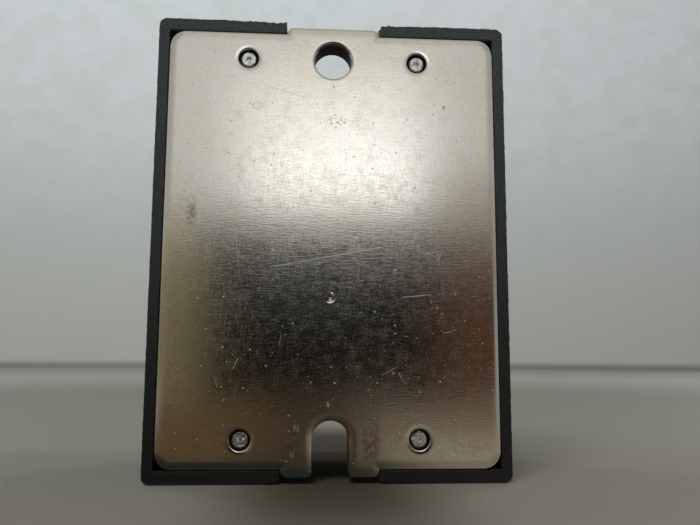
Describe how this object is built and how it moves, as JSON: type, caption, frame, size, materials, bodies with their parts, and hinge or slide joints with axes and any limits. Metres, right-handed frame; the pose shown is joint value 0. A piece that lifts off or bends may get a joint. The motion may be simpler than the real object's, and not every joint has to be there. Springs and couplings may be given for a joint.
{
  "type": "solid state relay",
  "caption": "Flat panel-mount solid state relay: black moulded case on a bare metal heat-transfer plate with a round hole and an open slot, and captive screw terminals.",
  "frame": {"origin": "centre of the mounting face of the base plate", "axes": "+Y out of the mounting face, towards the heat sink; +Z along the length, from the open slot to the round mounting hole; -Y out of the terminal face; +X across the width"},
  "size_m": [0.0446, 0.0273, 0.058],
  "materials": {
    "plate": "bright rolled metal, finely scratched, with rounded punched edges",
    "case": "matte black moulded thermoplastic with a fine spark-eroded grain",
    "fastener_steel": "zinc-plated steel",
    "terminal_metal": "tin-plated brass, satin",
    "clamp_steel": "bright nickel-plated steel",
    "washer_steel": "plated spring steel",
    "screw_steel": "nickel-plated steel",
    "label": "satin silver-grey polyester label",
    "lens": "clear red moulded plastic",
    "light": "clear red epoxy",
    "board": "green solder mask over glass epoxy",
    "ceramic": "white alumina",
    "copper": "bare copper",
    "silicon": "passivated silicon",
    "component_epoxy": "black moulding epoxy",
    "resistor_body": "beige lacquer",
    "capacitor_film": "ochre epoxy dip",
    "varistor_coat": "blue epoxy dip",
    "potting_resin": "dark cured resin"
  },
  "bodies": {
    "root": {"base_plate": "plate", "case": "case", "case_screws": "fastener_steel", "load_terminal_1": "terminal_metal", "load_terminal_2": "terminal_metal", "control_terminal_3": "terminal_metal", "control_terminal_4": "terminal_metal", "terminal_nuts": "fastener_steel", "label_plate": "label", "led_lens": "lens", "led": "light", "circuit_board": "board", "ceramic_substrate": "ceramic", "copper_pads": "copper", "thyristor_dies": "silicon", "die_straps": "copper", "gate_wires": "terminal_metal", "gate_pins": "terminal_metal", "optocoupler": "component_epoxy", "optocoupler_pins": "terminal_metal", "resistors": "resistor_body", "protection_diode": "component_epoxy", "transistor": "component_epoxy", "snubber_capacitor": "capacitor_film", "varistor": "varistor_coat", "potting": "potting_resin"},
    "clamp_1": {"clamp_1": "clamp_steel", "lock_washer_1": "washer_steel"},
    "screw_1": {"terminal_screw_1": "screw_steel"},
    "clamp_2": {"clamp_2": "clamp_steel", "lock_washer_2": "washer_steel"},
    "screw_2": {"terminal_screw_2": "screw_steel"},
    "clamp_3": {"clamp_3": "clamp_steel", "lock_washer_3": "washer_steel"},
    "screw_3": {"terminal_screw_3": "screw_steel"},
    "clamp_4": {"clamp_4": "clamp_steel", "lock_washer_4": "washer_steel"},
    "screw_4": {"terminal_screw_4": "screw_steel"}
  },
  "joints": [
    {"name": "clamp_1_travel", "type": "slide", "parent": "root", "child": "clamp_1", "axis": [0, -1, 0], "range_m": [0, 0.0035]},
    {"name": "screw_1_turn", "type": "hinge", "parent": "clamp_1", "child": "screw_1", "pos_m": [-0.0142, -0.02022, 0.0162], "axis": [0, -1, 0], "range_deg": [0, 1800]},
    {"name": "clamp_2_travel", "type": "slide", "parent": "root", "child": "clamp_2", "axis": [0, -1, 0], "range_m": [0, 0.0035]},
    {"name": "screw_2_turn", "type": "hinge", "parent": "clamp_2", "child": "screw_2", "pos_m": [0.0142, -0.02022, 0.0162], "axis": [0, -1, 0], "range_deg": [0, 1800]},
    {"name": "clamp_3_travel", "type": "slide", "parent": "root", "child": "clamp_3", "axis": [0, -1, 0], "range_m": [0, 0.0035]},
    {"name": "screw_3_turn", "type": "hinge", "parent": "clamp_3", "child": "screw_3", "pos_m": [0.0142, -0.02022, -0.0162], "axis": [0, -1, 0], "range_deg": [0, 1800]},
    {"name": "clamp_4_travel", "type": "slide", "parent": "root", "child": "clamp_4", "axis": [0, -1, 0], "range_m": [0, 0.0035]},
    {"name": "screw_4_turn", "type": "hinge", "parent": "clamp_4", "child": "screw_4", "pos_m": [-0.0142, -0.02022, -0.0162], "axis": [0, -1, 0], "range_deg": [0, 1800]}
  ],
  "couplings": [
    {"joint": "screw_1_turn", "follows": "clamp_1_travel", "rad_per_m": 8976},
    {"joint": "screw_2_turn", "follows": "clamp_2_travel", "rad_per_m": 8976},
    {"joint": "screw_3_turn", "follows": "clamp_3_travel", "rad_per_m": 8976},
    {"joint": "screw_4_turn", "follows": "clamp_4_travel", "rad_per_m": 8976}
  ]
}
